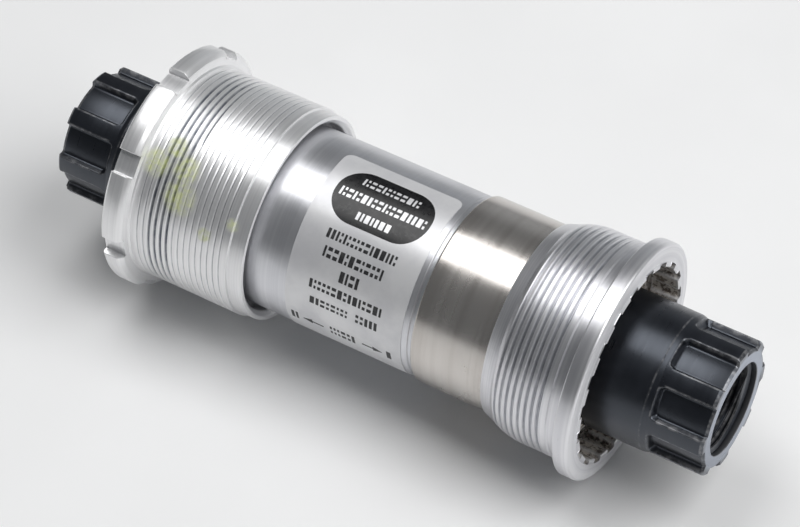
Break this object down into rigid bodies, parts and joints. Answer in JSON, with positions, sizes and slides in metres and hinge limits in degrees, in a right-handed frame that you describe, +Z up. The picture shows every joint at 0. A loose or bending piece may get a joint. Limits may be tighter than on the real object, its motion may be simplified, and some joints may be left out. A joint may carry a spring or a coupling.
{
  "type": "bottom bracket",
  "caption": "Sealed cartridge bottom bracket: splined hollow spindle on needle and ball bearings in a steel shell, with a fixed threaded right cup and a loose threaded left cup.",
  "frame": {"origin": "on the spindle's axis, midway between its two ends, which is the middle of the 73 mm frame shell", "axes": "+X along the spindle towards the drive (right) side; +Z up and +Y towards the rear of the bicycle"},
  "size_m": [0.113, 0.0396, 0.0396],
  "materials": {
    "black_steel": "black oxide, satin, bright where the edges are worn",
    "satin_steel": "satin drawn tube with fine turning marks",
    "polished_steel": "ground and polished, faint warm tarnish",
    "cup_aluminium": "turned, satin, with old grease in the thread",
    "label_foil": null,
    "spacer_plastic": "moulded nylon",
    "spring_steel": "blued spring steel",
    "bearing_steel": "hardened and ground",
    "ball_steel": "lapped mirror finish",
    "cage_plastic": "moulded nylon with grease",
    "seal_rubber": "moulded rubber",
    "cover_steel": "pressed steel under brown dried grease"
  },
  "bodies": {
    "cartridge": {"main_shell": "satin_steel", "drive_bearing_housing": "polished_steel", "right_cup": "cup_aluminium", "label": "label_foil", "spacer_sleeve": "spacer_plastic", "preload_washer": "spring_steel", "right_needle_sleeve": "bearing_steel", "right_ball_race": "bearing_steel", "right_snap_ring": "spring_steel", "right_seal": "seal_rubber", "right_dust_cover": "cover_steel", "left_needle_sleeve": "bearing_steel", "left_ball_race": "bearing_steel", "left_snap_ring": "spring_steel", "left_seal": "seal_rubber", "left_dust_cover": "cover_steel"},
    "spindle": {"spindle": "black_steel"},
    "right_ball_set": {"right_balls": "ball_steel", "right_ball_cage": "cage_plastic"},
    "right_needle_set": {"right_needle_rollers": "bearing_steel", "right_needle_cage": "cage_plastic"},
    "left_ball_set": {"left_balls": "ball_steel", "left_ball_cage": "cage_plastic"},
    "left_needle_set": {"left_needle_rollers": "bearing_steel", "left_needle_cage": "cage_plastic"},
    "left_cup": {"left_cup": "cup_aluminium"}
  },
  "joints": [
    {"name": "spindle_spin", "type": "hinge", "parent": "cartridge", "child": "spindle", "pos_m": [0, 0, 0], "axis": [1, 0, 0], "continuous": true},
    {"name": "right_ball_orbit", "type": "hinge", "parent": "cartridge", "child": "right_ball_set", "pos_m": [0.0293, 0, 0], "axis": [1, 0, 0], "continuous": true},
    {"name": "right_needle_orbit", "type": "hinge", "parent": "cartridge", "child": "right_needle_set", "pos_m": [0.0229, 0, 0], "axis": [1, 0, 0], "continuous": true},
    {"name": "left_ball_orbit", "type": "hinge", "parent": "cartridge", "child": "left_ball_set", "pos_m": [-0.0293, 0, 0], "axis": [1, 0, 0], "continuous": true},
    {"name": "left_needle_orbit", "type": "hinge", "parent": "cartridge", "child": "left_needle_set", "pos_m": [-0.0229, 0, 0], "axis": [1, 0, 0], "continuous": true},
    {"name": "left_cup_pull", "type": "slide", "parent": "cartridge", "child": "left_cup", "axis": [-1, 0, 0], "range_m": [-0.0021, 0.062]}
  ],
  "couplings": [
    {"joint": "right_ball_orbit", "follows": "spindle_spin", "ratio": 0.4426},
    {"joint": "left_ball_orbit", "follows": "spindle_spin", "ratio": 0.4426},
    {"joint": "right_needle_orbit", "follows": "spindle_spin", "ratio": 0.4586},
    {"joint": "left_needle_orbit", "follows": "spindle_spin", "ratio": 0.4586}
  ]
}
